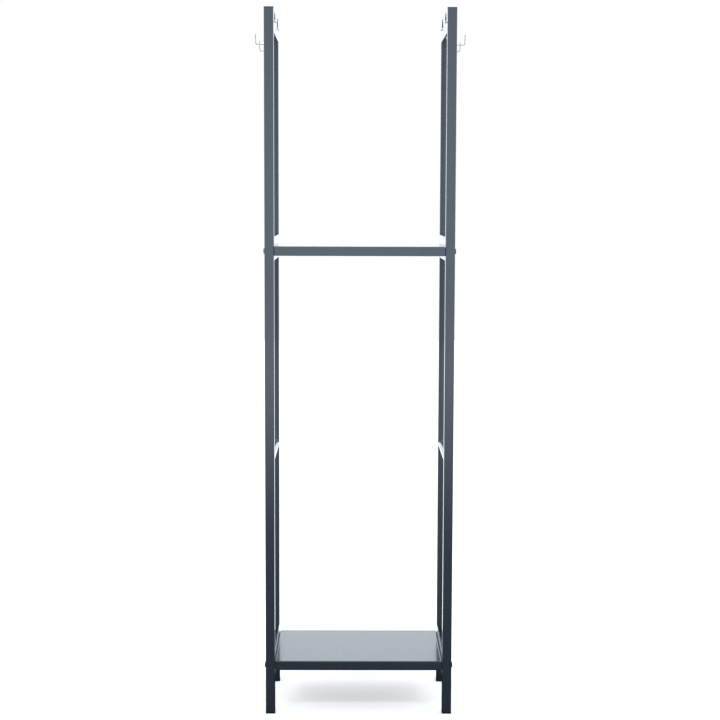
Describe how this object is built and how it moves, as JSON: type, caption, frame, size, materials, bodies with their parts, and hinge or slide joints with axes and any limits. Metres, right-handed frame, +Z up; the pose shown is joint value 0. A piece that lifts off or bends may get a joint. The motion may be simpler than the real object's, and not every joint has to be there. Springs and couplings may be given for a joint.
{
  "type": "firewood log rack",
  "caption": "Tall open steel rack that holds split firewood on bolted sheet shelves between tube side frames, with swinging wire hooks for fireside tools at the top.",
  "frame": {"origin": "on the floor, under the middle of the rack", "axes": "+Z up, the open front faces -Y, the side frames stand at -X (left) and +X (right)"},
  "size_m": [0.444, 0.2506, 1.5],
  "materials": {
    "powder_coat": "satin anthracite powder coat on steel, fine texture",
    "cap_plastic": "black moulded polyethylene",
    "grey_plastic": "anthracite moulded polyethylene",
    "bolt_coat": "dark coated steel",
    "zinc": "bright zinc plate",
    "hook_chrome": "bright plated round wire"
  },
  "bodies": {
    "rack": {"left_front_post": "powder_coat", "left_rear_post": "powder_coat", "right_front_post": "powder_coat", "right_rear_post": "powder_coat", "left_lower_side_plate": "powder_coat", "left_upper_side_plate": "powder_coat", "right_lower_side_plate": "powder_coat", "right_upper_side_plate": "powder_coat", "left_top_side_plate": "powder_coat", "right_top_side_plate": "powder_coat", "left_round_brace": "powder_coat", "right_round_brace": "powder_coat", "lower_shelf_tray": "powder_coat", "upper_shelf_tray": "powder_coat", "left_front_foot_cap": "cap_plastic", "left_rear_foot_cap": "cap_plastic", "right_front_foot_cap": "cap_plastic", "right_rear_foot_cap": "cap_plastic", "left_front_top_cap": "grey_plastic", "left_rear_top_cap": "grey_plastic", "right_front_top_cap": "grey_plastic", "right_rear_top_cap": "grey_plastic", "lower_left_front_bolt": "bolt_coat", "lower_left_rear_bolt": "bolt_coat", "lower_right_front_bolt": "bolt_coat", "lower_right_rear_bolt": "bolt_coat", "upper_left_front_bolt": "bolt_coat", "upper_left_rear_bolt": "bolt_coat", "upper_right_front_bolt": "bolt_coat", "upper_right_rear_bolt": "bolt_coat", "lower_left_front_nut": "zinc", "lower_left_rear_nut": "zinc", "lower_right_front_nut": "zinc", "lower_right_rear_nut": "zinc", "upper_left_front_nut": "zinc", "upper_left_rear_nut": "zinc", "upper_right_front_nut": "zinc", "upper_right_rear_nut": "zinc"},
    "left_front_hook": {"left_front_hook": "hook_chrome"},
    "left_rear_hook": {"left_rear_hook": "hook_chrome"},
    "right_front_hook": {"right_front_hook": "hook_chrome"},
    "right_rear_hook": {"right_rear_hook": "hook_chrome"}
  },
  "joints": [
    {"name": "left_front_hook_swing", "type": "hinge", "parent": "rack", "child": "left_front_hook", "pos_m": [-0.1815, -0.075, 1.47289], "axis": [0, 1, 0], "range_deg": [0, 30]},
    {"name": "left_rear_hook_swing", "type": "hinge", "parent": "rack", "child": "left_rear_hook", "pos_m": [-0.1815, 0.075, 1.47289], "axis": [0, 1, 0], "range_deg": [0, 30]},
    {"name": "right_front_hook_swing", "type": "hinge", "parent": "rack", "child": "right_front_hook", "pos_m": [0.1815, -0.075, 1.47289], "axis": [0, -1, 0], "range_deg": [0, 30]},
    {"name": "right_rear_hook_swing", "type": "hinge", "parent": "rack", "child": "right_rear_hook", "pos_m": [0.1815, 0.075, 1.47289], "axis": [0, -1, 0], "range_deg": [0, 30]}
  ]
}
